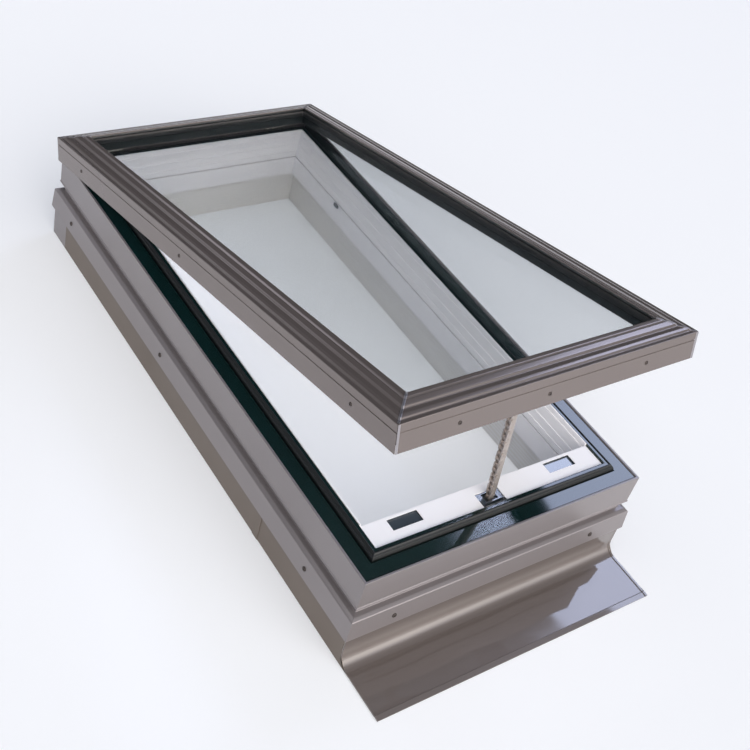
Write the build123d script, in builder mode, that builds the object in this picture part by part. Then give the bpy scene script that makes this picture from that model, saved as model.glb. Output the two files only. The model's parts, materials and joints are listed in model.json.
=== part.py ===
from build123d import *
import os
from math import atan2, cos, degrees, hypot, radians, sin

# A venting roof skylight: glazed sash, hinged at the top of the slope and pushed open by a chain,
# on an aluminium-clad frame that is screwed down over a flashed timber curb.
# Millimetres. +Z points out of the roof, +Y up the slope towards the hinges.
# The origin is the centre of the curb on the roof plane. The sash is drawn closed and then swung open.

# Frame: outside size of its upper wall
frame_width = 600.0
frame_length = 1184.0

# Curb: boards on edge
curb_height = 108.0
curb_board = 38.0
curb_lap = 5.2          # how far the curb stands out past the frame's upper wall
anchor_hole_radius = 5.0
anchor_inset = 60.0     # from the curb's end to the hold-down hole

# Frame profile: one aluminium extrusion, folded here from its outer face
frame_wall = 1.8
frame_bend = 2.2        # outer radius of each fold
ledge_rise = 3.0        # top of the flange's ledge above the curb
ledge_fall = 0.6        # the ledge drains outwards
groove_height = 23.0
groove_depth = 7.0
wall_height = 65.6
roll_width = 5.0        # top edge of the upper wall
gutter_depth = 15.6     # from the top edge down to the gutter's floor
flange_reach = 8.0      # ledge, outwards from the upper wall
flange_flare = 3.5
flange_drop = 44.0

# Frame core: two-chamber plastic profile with the gutter and the inner upstand
core_wall = 3.0
gutter_inner = 36.0     # distance from the frame's outer face
core_inner = 50.0
upstand_step = 14.0     # upright part of the upstand, above the gutter's floor
upstand_top = 9.4       # above the frame's top edge
upstand_land = 3.0      # level top of the upstand

# Liner: moulded white boards that face the opening
liner_top_width = 3.0
moulding_step = 2.0
moulding_levels = (11.0, 34.0, 52.0, 65.0)   # from the liner's top down to each step
reveal_gap = 3.0
reveal_depth = 7.0
liner_lap = 12.0        # over the inside of the curb

# Frame seal: rubber strip on the upstand
seal_thickness = 1.6
seal_bulb_radius = 4.4
seal_bulb_bore = 2.8
seal_drop = 10.0        # how far the strip hangs down the upright part

# Flashing sheets
sheet = 1.0
flashing_lap = 4.0      # from the flange's ledge down to the flashing's top edge
apron_reach = 127.0     # from the frame's outer face to the apron's front edge
apron_bend = 36.0
hem_radius = 1.3
side_seam = 292.0       # from the curb's front end to the seam in the side flashing
seam_lap = 16.0
toe_clear = 0.3         # between the side flashing's toe and the apron's bend
head_return = 60.0      # head flashing, round the corner and down the side

# Flange screws
flange_screw_rise = 21.0        # above the flange's lower edge
flange_screw_radius = 2.4
flange_head_radius = 4.6
flange_head_height = 2.4
flange_head_taper = 12.0
flange_screw_length = 30.0
flange_screw_inset = 80.0       # from the frame's corner, on the front and the back
flange_screw_lower = 130.0      # from the frame's front end, on the sides
flange_screw_middle = 84.0     # from the middle towards the back
flange_screw_upper = 86.0       # from the frame's back end

# Sash
sash_overhang = 6.5     # past the frame's upper wall, all round
sash_lap = 9.1          # skirt below the frame's top edge when closed
open_angle = 13.8
cladding_wall = 1.8
skirt_height = 50.5
lip_round = 1.5
skirt_groove = 36.0     # height of the fine groove above the skirt's edge
skirt_groove_width = 1.6
skirt_groove_depth = 0.8
sash_rail = 50.0        # width of the cladding, seen from above
cladding_rise = 12.5    # from the lip to the glazing edge
cladding_top = 2.5      # thickness of the ribbed face
rib_count = 3
rib_height = 1.6
rib_start = 4.0
rib_gap = 3.4
rib_slope = 1.1
sash_gap = 3.5          # from the upstand's top to the sash frame's underside
foot_drop = 7.0         # screw foot of the sash frame, below its underside
foot_width = 11.0
foot_height = 10.0
sash_frame_start = 9.5
rebate_start = 34.0
sash_frame_inner = 52.0
rebate_height = 15.0    # from the sash frame's underside to the glass
glass_edge = 38.0       # distance from the sash's outer face to the glass edge
pane = 4.0
pane_gap = 12.0
spacer_start = 41.0
spacer_end = 53.0
gasket_width = 4.0
corner_key = 5.0        # metal key that shows in each mitre
key_proud = 0.4

# Sash screws
sash_screw_rise = 20.0
sash_screw_radius = 1.9
sash_head_radius = 3.6
sash_head_height = 1.2
sash_head_taper = 20.0
sash_screw_length = 9.0
sash_screw_inset = 114.5        # from the sash's corner, on the front and the back
sash_screw_offset = 17.0        # the middle one, to the left
sash_screw_lower = 113.5        # from the sash's front end, on the sides
sash_screw_middle = 57.0        # from the middle towards the back
sash_screw_upper = 118.5        # from the sash's back end

# Hinges
hinge_inset = 17.0      # axis, from the frame's outer face
hinge_rise = 15.0       # axis, above the gutter's floor
hinge_side = 100.0      # from the frame's side face to the hinge's middle
pin_radius = 3.0
pin_clearance = 0.05
pin_head = 1.5
knuckle_radius = 6.0
knuckle_length = 14.0
middle_knuckle = 22.0
knuckle_gap = 0.5
leaf_thickness = 3.0
leaf_length = 20.0
web_thickness = 6.0

# Chain operator
chain_line = 70.0       # from the frame's front face to the chain, when closed
cover_drop = 5.0        # cover below the upstand's top
cover_thickness = 1.6
cover_width = 49.0
cover_lip = 22.0
cover_seat = 1.0        # from the core's face to the cover's end
slot_width = 50.0
slot_back = 11.0        # from the chain to the slot's back edge
pocket_inset = 79.0     # from the cover's end to the pocket's middle
pocket_length = 61.0
pocket_width = 23.0
pocket_back = 5.5       # from the cover's back edge to the pocket
pocket_depth = 8.0
pocket_wall = 1.2
pocket_sink = 2.5
housing_inset = 39.0    # from the cover's end to the housing's
housing_depth = 46.0
housing_clear = 3.0     # behind the cover's lip
housing_corner = 3.0
mouth_length = 26.0
mouth_width = 18.0
mouth_depth = 40.0
guide_height = 9.0
guide_clear = 0.5       # round the guide, on each side
guide_bore_length = 27.0
guide_bore_width = 16.0

# Push chain and its sash bracket
attach_rise = 13.0      # chain pivot above the skirt's edge
chain_pitch = 12.0
link_width = 11.0
link_reach = 5.8        # from a rivet to the end of its plate
link_cut = 5.3          # corners cut back on the side to which the chain coils
rod_sides = 6           # bushes, rivets and screw shanks are drawn with flats, as they repeat
head_sides = 12         # screw heads likewise
inner_plate_out = 4.5   # outer face of the inner links' plates, from the chain's middle
plate_thickness = 1.5
plate_gap = 0.1         # between an inner and an outer plate
bush_radius = 3.6
rivet_radius = 2.0
rivet_clearance = 0.05  # in the bush
rivet_proud = 0.4
chain_tail = 12.0       # chain inside the housing
end_link_length = 26.0
link_gap = 0.4
end_link_width = 12.0
end_link_thickness = 14.0
chain_pin_radius = 3.0
ear_gap = 0.6
ear_thickness = 3.0
ear_radius = 6.0
bracket_plate = 3.0
bracket_width = 42.0
bracket_height = 14.0
arm_reach = 8.0         # arm past the chain pivot

# Screen clip on the right liner
clip_position = 245.0   # from the frame's back end
clip_level = 72.0       # below the liner's top
clip_length = 16.0
clip_height = 7.0
clip_depth = 4.0

# Levels and lines that follow from the sizes above
ledge_z = curb_height + ledge_rise
groove_top = ledge_z + groove_height
frame_top = groove_top + wall_height
gutter_z = frame_top - gutter_depth
upstand_z = frame_top + upstand_top
flange_z = ledge_z - flange_drop
flange_out = flange_reach + flange_flare
sash_z = frame_top - sash_lap
sash_width = frame_width + 2 * sash_overhang
sash_length = frame_length + 2 * sash_overhang
underside = upstand_z + sash_gap - sash_z
rebate_z = underside + rebate_height
glass_top = rebate_z + 2 * pane + pane_gap
hinge_y = frame_length / 2 - hinge_inset
hinge_z = gutter_z + hinge_rise
chain_y = chain_line - frame_length / 2
cover_top = upstand_z - cover_drop
cover_under = cover_top - cover_thickness
liner_inner = core_inner + liner_top_width + moulding_step * (len(moulding_levels) - 1)
hinge_x = frame_width / 2 - hinge_side
flange_screws_front = (flange_screw_inset - frame_width / 2, frame_width / 2 - flange_screw_inset)
flange_screws_side = (
    flange_screw_lower - frame_length / 2,
    flange_screw_middle,
    frame_length / 2 - flange_screw_upper,
)
sash_screws_front = (
    sash_screw_inset - sash_width / 2,
    -sash_screw_offset,
    sash_width / 2 - sash_screw_inset,
)
sash_screws_side = (
    sash_screw_lower - sash_length / 2,
    sash_screw_middle,
    sash_length / 2 - sash_screw_upper,
)

HINGE_AXIS = Axis((0, hinge_y, hinge_z), (-1, 0, 0))

os.makedirs("parts", exist_ok=True)


class RailSide:
    """One side of a mitred rectangle. Its plane's local x runs inwards and its local y runs up."""

    def __init__(self, inward, width, length, base=0.0):
        along = Vector(0, 0, 1).cross(inward) * -1
        half = width / 2 if inward.X else length / 2
        self.plane = Plane(origin=inward * -half + Vector(0, 0, base), x_dir=inward, z_dir=along)
        self.length = length if inward.X else width


def rectangle_sides(width, length, base=0.0):
    """The four sides of a rectangle centred on the origin, by name."""
    inward = {
        "front": Vector(0, 1, 0),
        "back": Vector(0, -1, 0),
        "left": Vector(1, 0, 0),
        "right": Vector(-1, 0, 0),
    }
    return {name: RailSide(way, width, length, base) for name, way in inward.items()}


def mitre(side, setback=0.0, keep=Keep.TOP, ends=(-1, 1)):
    """Cuts the rail in the current part at 45 degrees at its ends, set back square to the cut."""
    for end in ends:
        corner = side.plane.origin + side.plane.z_dir * (end * side.length / 2)
        inward_cut = side.plane.z_dir * -end - side.plane.x_dir
        split(bisect_by=Plane(origin=corner, z_dir=inward_cut).offset(setback), keep=keep)


def folded_strip(points, wall, radius=0.0):
    """A strip of even thickness with one face through the points, and the other to the right of it."""
    with BuildLine() as outline:
        if radius:
            FilletPolyline(*points, radius=radius)
        else:
            Polyline(*points)
        offset(amount=wall, side=Side.RIGHT, closed=True, kind=Kind.ARC if radius else Kind.INTERSECTION)
    make_face(outline.edges())


def polygon(points, mode=Mode.ADD):
    """A straight-sided area in the current sketch."""
    with BuildLine() as outline:
        Polyline(*points, close=True)
    make_face(outline.edges(), mode=mode)


def hand_in(piece, name):
    """Labels a finished piece and writes it."""
    piece.part.label = name
    export_step(piece.part, f"parts/{name}.step")


def swing_open(piece):
    """Turns a piece drawn on the closed sash about the hinge axis, to the open sash."""
    piece.part = piece.part.rotate(HINGE_AXIS, open_angle)


frame_sides = rectangle_sides(frame_width, frame_length)
sash_sides = rectangle_sides(sash_width, sash_length, sash_z)
curb_sides = rectangle_sides(frame_width + 2 * curb_lap, frame_length + 2 * curb_lap)


# Flange screws
def flange_screw_planes(side_name):
    """Planes on the flange's slanted face, facing out, one for each screw."""
    side = frame_sides[side_name].plane
    tilt = degrees(atan2(flange_flare, flange_drop))
    slant = flange_screw_rise * flange_flare / flange_drop
    face = side.from_local_coords(Vector(slant - flange_out, flange_z + flange_screw_rise, 0))
    places = flange_screws_front if side_name in ("front", "back") else flange_screws_side
    planes = []
    for place in places:
        along = side.z_dir * (place * (1 if side_name in ("front", "right") else -1))
        outward = side.x_dir * -cos(radians(tilt)) + side.y_dir * sin(radians(tilt))
        planes.append(Plane(origin=face + along, x_dir=side.z_dir, z_dir=outward))
    return planes


def cut_flange_screws(side_name):
    """Drills the flange screws' holes through the current part."""
    for plane in flange_screw_planes(side_name):
        with BuildSketch(plane) as hole:
            RegularPolygon(flange_screw_radius, rod_sides)
        extrude(hole.sketch, amount=-flange_screw_length, mode=Mode.SUBTRACT)


with BuildPart() as flange_screws:
    for side_name in frame_sides:
        for plane in flange_screw_planes(side_name):
            with BuildSketch(plane):
                RegularPolygon(flange_screw_radius, rod_sides)
            extrude(amount=-flange_screw_length)
            with BuildSketch(plane):
                RegularPolygon(flange_head_radius, head_sides)
            extrude(amount=flange_head_height, taper=flange_head_taper)
hand_in(flange_screws, "flange_screws")


# Curb: side boards run full length, end boards fit between them
curb_width = frame_width + 2 * curb_lap
curb_length = frame_length + 2 * curb_lap
for side_name, across in (("left", -1), ("right", 1)):
    with BuildPart() as curb_side:
        with Locations((across * (curb_width - curb_board) / 2, 0, 0)):
            Box(curb_board, curb_length, curb_height, align=(Align.CENTER, Align.CENTER, Align.MIN))
            with GridLocations(0, curb_length - 2 * anchor_inset, 1, 2):
                Cylinder(anchor_hole_radius, curb_height, mode=Mode.SUBTRACT,
                         align=(Align.CENTER, Align.CENTER, Align.MIN))
        cut_flange_screws(side_name)
    hand_in(curb_side, f"curb_{side_name}")
for side_name, along in (("front", -1), ("back", 1)):
    with BuildPart() as curb_end:
        with Locations((0, along * (curb_length - curb_board) / 2, 0)):
            Box(curb_width - 2 * curb_board, curb_board, curb_height,
                align=(Align.CENTER, Align.CENTER, Align.MIN))
        cut_flange_screws(side_name)
    hand_in(curb_end, f"curb_{side_name}")


# Frame profile: rolled top edge, upper wall, shadow groove, ledge and screw flange in one section
for side_name, side in frame_sides.items():
    with BuildPart() as frame_profile:
        with BuildSketch(side.plane):
            folded_strip(
                [
                    (roll_width, gutter_z),
                    (roll_width, frame_top),
                    (0, frame_top),
                    (0, groove_top),
                    (groove_depth, groove_top),
                    (groove_depth, ledge_z),
                    (-flange_reach, ledge_z - ledge_fall),
                    (-flange_out, flange_z),
                ],
                frame_wall,
                frame_bend,
            )
        extrude(amount=side.length, both=True)
        mitre(side)
        cut_flange_screws(side_name)
    hand_in(frame_profile, f"frame_profile_{side_name}")


# Frame core: gutter and inner upstand over two closed chambers
def core_section():
    """The core's section: gutter floor, upright, sloping upstand and two chambers."""
    shelf = gutter_z - core_wall
    outer = groove_depth + frame_wall
    polygon([
        (outer, curb_height),
        (outer, shelf),
        (frame_wall, shelf),
        (frame_wall, gutter_z),
        (gutter_inner, gutter_z),
        (gutter_inner, gutter_z + upstand_step),
        (core_inner - upstand_land, upstand_z),
        (core_inner, upstand_z),
        (core_inner, curb_height),
    ])
    middle = (outer + core_inner) / 2
    chambers = (
        (outer + core_wall, middle - core_wall / 2),
        (middle + core_wall / 2, core_inner - core_wall),
    )
    for low, high in chambers:
        polygon([
            (low, curb_height + core_wall),
            (low, shelf),
            (high, shelf),
            (high, curb_height + core_wall),
        ], mode=Mode.SUBTRACT)


for side_name, side in frame_sides.items():
    with BuildPart() as frame_core:
        with BuildSketch(side.plane):
            core_section()
        extrude(amount=side.length, both=True)
        mitre(side)
    hand_in(frame_core, f"frame_core_{side_name}")


# Liner: stepped moulding, shadow reveal, and a return that laps the inside of the curb
def liner_section(top):
    """The liner's section: steps down from the top, a reveal, and the lap over the curb."""
    points = [(core_inner, curb_height), (core_inner, top), (core_inner + liner_top_width, top)]
    face = core_inner + liner_top_width
    for level in moulding_levels[:-1]:
        points += [(face, upstand_z - level), (face + moulding_step, upstand_z - level)]
        face += moulding_step
    reveal_z = upstand_z - moulding_levels[-1]
    curb_face = curb_board - curb_lap
    points += [
        (face, reveal_z),
        (face - reveal_depth, reveal_z),
        (face - reveal_depth, reveal_z - reveal_gap),
        (face, reveal_z - reveal_gap),
        (face, curb_height - liner_lap),
        (curb_face, curb_height - liner_lap),
        (curb_face, curb_height),
    ]
    polygon(points)


for side_name, side in frame_sides.items():
    with BuildPart() as liner:
        with BuildSketch(side.plane):
            liner_section(cover_under if side_name == "front" else upstand_z)
        extrude(amount=side.length, both=True)
        mitre(side)
        if side_name in ("left", "right"):
            # The operator cover's ends sit in a notch of the side liners
            with BuildSketch(Plane.XY.offset(cover_under)):
                with Locations((0, cover_width / 2 + core_inner - frame_length / 2)):
                    Rectangle(frame_width, cover_width)
            extrude(amount=upstand_z - cover_under, mode=Mode.SUBTRACT)
    hand_in(liner, f"liner_{side_name}")


# Frame seal: strip down the upright part and up the slope of the upstand, with a hollow bulb
def seal_section():
    """The seal's section: a strip folded over the upstand's corner, and a hollow bulb."""
    corner = (gutter_inner, gutter_z + upstand_step)
    run = core_inner - upstand_land - corner[0]
    rise = upstand_z - corner[1]
    slope = hypot(run, rise)
    along = (run / slope, rise / slope)
    reach = slope / 2 + seal_bulb_radius
    folded_strip(
        [
            (corner[0] + along[0] * reach, corner[1] + along[1] * reach),
            corner,
            (corner[0], corner[1] - seal_drop),
        ],
        -seal_thickness,
    )
    lift = seal_thickness / 2 + seal_bulb_radius
    across = corner[0] + along[0] * slope / 2 - along[1] * lift
    up = corner[1] + along[1] * slope / 2 + along[0] * lift
    with Locations((across, up)):
        Circle(seal_bulb_radius)
        Circle(seal_bulb_bore, mode=Mode.SUBTRACT)


for side_name, side in frame_sides.items():
    with BuildPart() as frame_seal:
        with BuildSketch(side.plane):
            seal_section()
        extrude(amount=side.length, both=True)
        mitre(side)
    hand_in(frame_seal, f"frame_seal_{side_name}")


# Flashing: sheets that stand against the curb, tucked up under the flange
flashing_top = ledge_z - frame_wall - flashing_lap
flashing_face = -curb_lap - sheet
curb_face_x = curb_width / 2

with BuildPart() as apron_flashing:
    front = frame_sides["front"].plane
    with BuildSketch(front):
        with BuildLine():
            FilletPolyline(
                (flashing_face, flashing_top),
                (flashing_face, sheet),
                (-apron_reach, sheet),
                radius=apron_bend,
            )
            offset(amount=sheet, side=Side.LEFT, closed=True)
        make_face()
        with Locations((-apron_reach, hem_radius)):
            Circle(hem_radius)
    extrude(amount=curb_width / 2 + sheet, both=True)
    cut_flange_screws("front")
hand_in(apron_flashing, "apron_flashing")

with BuildPart() as head_flashing:
    with BuildSketch(Plane.XY):
        back_y = curb_length / 2
        with BuildLine():
            Polyline(
                (-curb_face_x, back_y - head_return),
                (-curb_face_x, back_y),
                (curb_face_x, back_y),
                (curb_face_x, back_y - head_return),
            )
            offset(amount=sheet, side=Side.LEFT, closed=True, kind=Kind.INTERSECTION)
        make_face()
    extrude(amount=flashing_top)
    for side_name in ("back", "left", "right"):
        cut_flange_screws(side_name)
hand_in(head_flashing, "head_flashing")


def side_sheet(across, low, high, lap=0.0):
    """An upright sheet against the curb's side."""
    middle = (low + high) / 2
    with Locations((across * (curb_face_x + sheet / 2), middle, flashing_top / 2)):
        Box(sheet, high - low, flashing_top)
    if lap:
        # The upper sheet is joggled out to lie over the lower one
        lap_top = flange_z + flashing_lap
        with Locations((across * (curb_face_x + sheet * 3 / 2), low - lap / 2 + sheet, lap_top / 2)):
            Box(sheet, lap + 2 * sheet, lap_top)


def side_toe(across):
    """The tongue of the side sheet that closes the corner under the apron's bend."""
    with BuildSketch(frame_sides["front"].plane.offset(across * curb_face_x)) as toe:
        with Locations((flashing_face + sheet, 0)):
            Rectangle(apron_bend + sheet, apron_bend + sheet, align=(Align.MAX, Align.MIN))
        with Locations((flashing_face - apron_bend, sheet + apron_bend)):
            Circle(apron_bend + sheet + toe_clear, mode=Mode.SUBTRACT)
    extrude(toe.sketch, amount=across * sheet)


for side_name, across in (("left", -1), ("right", 1)):
    apron_end = -curb_length / 2
    head_end = curb_length / 2 - head_return
    with BuildPart() as side_flashing_low:
        side_sheet(across, apron_end, apron_end + side_seam)
        side_toe(across)
        cut_flange_screws(side_name)
    hand_in(side_flashing_low, f"side_flashing_{side_name}_lower")
    with BuildPart() as side_flashing_high:
        side_sheet(across, apron_end + side_seam, head_end, seam_lap)
        cut_flange_screws(side_name)
    hand_in(side_flashing_high, f"side_flashing_{side_name}_upper")


# Sash cladding: skirt with a fine groove, rounded lip and ribbed face that climbs to the glass
def cladding_line(inward):
    """Height of the cladding's face, without its ribs, above the skirt's edge."""
    return skirt_height + cladding_rise * inward / sash_rail


def cladding_section(proud=0.0):
    """The cladding's section. Proud moves its outer face outwards."""
    points = [
        (-proud, 0),
        (-proud, skirt_groove - skirt_groove_width / 2),
        (skirt_groove_depth - proud, skirt_groove),
        (-proud, skirt_groove + skirt_groove_width / 2),
        (-proud, skirt_height - lip_round + proud),
        (lip_round - proud, skirt_height + proud),
    ]
    pitch = (sash_rail - rib_start) / rib_count
    for rib in range(rib_count):
        foot = rib_start + rib * pitch
        head = foot + pitch - rib_gap
        points += [
            (foot, cladding_line(foot) + proud),
            (foot + rib_slope, cladding_line(foot) + rib_height + proud),
            (head - rib_slope, cladding_line(head) + rib_height + proud),
            (head, cladding_line(head) + proud),
        ]
    points += [
        (sash_rail, cladding_line(sash_rail) + proud),
        (sash_rail, cladding_line(sash_rail) - cladding_top),
        (cladding_wall, cladding_line(cladding_wall) - cladding_top),
        (cladding_wall, 0),
    ]
    polygon(points)


def sash_screw_planes(side_name):
    """Planes on the skirt's face, facing out, one for each screw."""
    side = sash_sides[side_name].plane
    places = sash_screws_front if side_name in ("front", "back") else sash_screws_side
    planes = []
    for place in places:
        along = side.z_dir * (place * (1 if side_name in ("front", "right") else -1))
        centre = side.origin + side.y_dir * sash_screw_rise + along
        planes.append(Plane(origin=centre, z_dir=side.x_dir * -1))
    return planes


def cut_sash_screws(side_name):
    """Drills the sash screws' holes through the current part."""
    for plane in sash_screw_planes(side_name):
        with BuildSketch(plane) as hole:
            RegularPolygon(sash_screw_radius, rod_sides)
        extrude(hole.sketch, amount=-sash_screw_length, mode=Mode.SUBTRACT)


# Corner keys: each half lies along a mitre, behind the skirt, and the rail's ribbed face is cut back for it
key_halves = {}
for side_name, side in sash_sides.items():
    for end in (-1, 1):
        with BuildPart() as half_key:
            with BuildSketch(side.plane):
                cladding_section(key_proud)
                with Locations((cladding_wall, 0)):
                    corner = (Align.MIN, Align.MIN)
                    Rectangle(sash_rail, skirt_height + sash_rail, align=corner, mode=Mode.INTERSECT)
            extrude(amount=side.length, both=True)
            mitre(side, 0, Keep.TOP, (end,))
            mitre(side, corner_key / 2, Keep.BOTTOM, (end,))
        key_halves[side_name, end] = half_key.part

for side_name, side in sash_sides.items():
    with BuildPart() as sash_cladding:
        with BuildSketch(side.plane):
            cladding_section()
        extrude(amount=side.length, both=True)
        mitre(side)
        for end in (-1, 1):
            add(key_halves[side_name, end], mode=Mode.SUBTRACT)
        cut_sash_screws(side_name)
    swing_open(sash_cladding)
    hand_in(sash_cladding, f"sash_cladding_{side_name}")

with BuildPart() as corner_keys:
    add(list(key_halves.values()))
swing_open(corner_keys)
hand_in(corner_keys, "corner_keys")

with BuildPart() as sash_screws:
    for side_name in sash_sides:
        for plane in sash_screw_planes(side_name):
            with BuildSketch(plane):
                RegularPolygon(sash_screw_radius, rod_sides)
            extrude(amount=-sash_screw_length)
            with BuildSketch(plane):
                RegularPolygon(sash_head_radius, head_sides)
            extrude(amount=sash_head_height, taper=sash_head_taper)
swing_open(sash_screws)
hand_in(sash_screws, "sash_screws")


# Sash frame: dark profile with a screw foot and a rebate for the glass
def sash_frame_section():
    """The sash frame's section: screw foot, body under the cladding and glass rebate."""
    polygon([
        (cladding_wall, underside - foot_drop),
        (cladding_wall, underside - foot_drop + foot_height),
        (sash_frame_start, underside - foot_drop + foot_height),
        (sash_frame_start, cladding_line(sash_frame_start) - cladding_top),
        (rebate_start, cladding_line(rebate_start) - cladding_top),
        (rebate_start, rebate_z),
        (sash_frame_inner, rebate_z),
        (sash_frame_inner, underside),
        (foot_width + cladding_wall, underside),
        (foot_width + cladding_wall, underside - foot_drop),
    ])


for side_name, side in sash_sides.items():
    with BuildPart() as sash_frame:
        with BuildSketch(side.plane):
            sash_frame_section()
        extrude(amount=side.length, both=True)
        mitre(side)
        cut_sash_screws(side_name)
    swing_open(sash_frame)
    hand_in(sash_frame, f"sash_frame_{side_name}")


# Glass unit: two panes, a spacer between them and a gasket under the cladding's edge
def glass_pane(level):
    """A sheet of glass in the current part."""
    with BuildSketch(Plane.XY.offset(sash_z + level)) as sheet_plan:
        Rectangle(sash_width - 2 * glass_edge, sash_length - 2 * glass_edge)
    extrude(sheet_plan.sketch, amount=pane)


def flat_ring(level, start, end, height):
    """A rectangular ring between two distances from the sash's outer face."""
    with BuildSketch(Plane.XY.offset(sash_z + level)) as ring_plan:
        Rectangle(sash_width - 2 * start, sash_length - 2 * start)
        Rectangle(sash_width - 2 * end, sash_length - 2 * end, mode=Mode.SUBTRACT)
    extrude(ring_plan.sketch, amount=height)


with BuildPart() as inner_pane:
    glass_pane(rebate_z)
swing_open(inner_pane)
hand_in(inner_pane, "inner_pane")

with BuildPart() as outer_pane:
    glass_pane(rebate_z + pane + pane_gap)
swing_open(outer_pane)
hand_in(outer_pane, "outer_pane")

with BuildPart() as glass_spacer:
    flat_ring(rebate_z + pane, spacer_start, spacer_end, pane_gap)
swing_open(glass_spacer)
hand_in(glass_spacer, "glass_spacer")

with BuildPart() as glazing_gasket:
    gasket_height = cladding_line(sash_rail) - cladding_top - glass_top
    flat_ring(glass_top, sash_rail - gasket_width, sash_rail, gasket_height)
    # The gasket's top follows the slope of the cladding's underside
    for side in sash_sides.values():
        with BuildSketch(side.plane):
            polygon([
                (0, cladding_line(0) - cladding_top),
                (sash_rail, cladding_line(sash_rail) - cladding_top),
                (0, cladding_line(sash_rail)),
            ])
        extrude(amount=side.length, both=True, mode=Mode.SUBTRACT)
swing_open(glazing_gasket)
hand_in(glazing_gasket, "glazing_gasket")


# Hinges: two-knuckle base on the gutter's floor, one-knuckle leaf under the sash frame, pin between
def hinge_rod(centre_x, length, radius, mode=Mode.ADD):
    """A round bar on the hinge axis, in the current part."""
    across = Plane(origin=(centre_x, hinge_y, hinge_z), x_dir=(0, 1, 0), z_dir=(1, 0, 0))
    with BuildSketch(across) as disc:
        Circle(radius)
    extrude(disc.sketch, amount=length / 2, both=True, mode=mode)


hinge_length = 2 * knuckle_length + middle_knuckle + 2 * knuckle_gap
outer_offset = (middle_knuckle + knuckle_length) / 2 + knuckle_gap
leaf_under = sash_z + underside - leaf_thickness
upper_align = (Align.CENTER, Align.CENTER, Align.MIN)
for side_name, across in (("left", -1), ("right", 1)):
    centre = across * hinge_x
    with BuildPart() as hinge_base:
        with Locations((centre, hinge_y, gutter_z)):
            Box(hinge_length, leaf_length, leaf_thickness, align=upper_align)
        for place in (centre - outer_offset, centre + outer_offset):
            with Locations((place, hinge_y, gutter_z)):
                Box(knuckle_length, web_thickness, hinge_rise, align=upper_align)
            hinge_rod(place, knuckle_length, knuckle_radius)
        hinge_rod(centre, hinge_length, pin_radius, Mode.SUBTRACT)
    hand_in(hinge_base, f"hinge_base_{side_name}")

    with BuildPart() as hinge_leaf:
        with Locations((centre, hinge_y, leaf_under)):
            Box(hinge_length, leaf_length, leaf_thickness, align=upper_align)
        with Locations((centre, hinge_y, hinge_z)):
            Box(middle_knuckle, web_thickness, leaf_under - hinge_z, align=upper_align)
        hinge_rod(centre, middle_knuckle, knuckle_radius)
        hinge_rod(centre, hinge_length, pin_radius + pin_clearance, Mode.SUBTRACT)
    swing_open(hinge_leaf)
    hand_in(hinge_leaf, f"hinge_leaf_{side_name}")

with BuildPart() as hinge_pins:
    for across in (-1, 1):
        hinge_rod(across * hinge_x, hinge_length + 2 * pin_head, pin_radius)
hand_in(hinge_pins, "hinge_pins")


# Chain operator: cover across the opening, drive housing under it, chain guide and two recessed pockets
cover_front = core_inner - frame_length / 2
cover_back = cover_front + cover_width
cover_middle = (cover_front + cover_back) / 2
cover_length = frame_width - 2 * (core_inner + cover_seat)
pocket_x = cover_length / 2 - pocket_inset
slot_front_y = cover_front
slot_back_y = chain_y + slot_back
slot_depth = slot_back_y - slot_front_y
pocket_y = cover_back - pocket_back - pocket_width / 2

with BuildPart() as operator_cover:
    with BuildSketch(Plane.XY.offset(cover_under)):
        with Locations((0, cover_middle)):
            Rectangle(cover_length, cover_width)
        with Locations((0, slot_front_y + slot_depth / 2)):
            Rectangle(slot_width, slot_depth, mode=Mode.SUBTRACT)
        for across in (-1, 1):
            with Locations((across * pocket_x, pocket_y)):
                Rectangle(pocket_length, pocket_width, mode=Mode.SUBTRACT)
    extrude(amount=cover_thickness)
    lip_length = frame_width - 2 * liner_inner
    with BuildSketch(Plane.XY.offset(cover_under)):
        with Locations((0, cover_back - cover_thickness / 2)):
            Rectangle(lip_length, cover_thickness)
    extrude(amount=-cover_lip)
hand_in(operator_cover, "operator_cover")

housing_front = liner_inner - frame_length / 2
housing_back = cover_back - cover_thickness - housing_clear
housing_length = cover_length - 2 * housing_inset
with BuildPart() as operator_housing:
    with BuildSketch(Plane.XY.offset(cover_under)):
        with Locations((0, (housing_front + housing_back) / 2)):
            RectangleRounded(housing_length, housing_back - housing_front, housing_corner)
    extrude(amount=-housing_depth)
    with BuildSketch(Plane.XY.offset(cover_under)):
        with Locations((0, (housing_front + slot_back_y) / 2)):
            Rectangle(slot_width, slot_back_y - housing_front + 2 * guide_clear)
    extrude(amount=-guide_height, mode=Mode.SUBTRACT)
    with BuildSketch(Plane.XY.offset(cover_under - guide_height)):
        with Locations((0, chain_y)):
            Rectangle(mouth_length, mouth_width)
    extrude(amount=-mouth_depth + guide_height, mode=Mode.SUBTRACT)
    for across in (-1, 1):
        with BuildSketch(Plane.XY.offset(cover_under)):
            with Locations((across * pocket_x, pocket_y)):
                Rectangle(pocket_length + 2 * pocket_wall, pocket_width + 2 * pocket_wall)
        extrude(amount=-pocket_depth, mode=Mode.SUBTRACT)
hand_in(operator_housing, "operator_housing")

with BuildPart() as chain_guide:
    guide_width = slot_back_y - housing_front
    with BuildSketch(Plane.XY.offset(cover_under - guide_height)):
        with Locations((0, (housing_front + slot_back_y) / 2)):
            Rectangle(slot_width - 2 * guide_clear, guide_width)
        with Locations((0, chain_y)):
            Rectangle(guide_bore_length, guide_bore_width, mode=Mode.SUBTRACT)
    extrude(amount=guide_height)
hand_in(chain_guide, "chain_guide")

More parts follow.
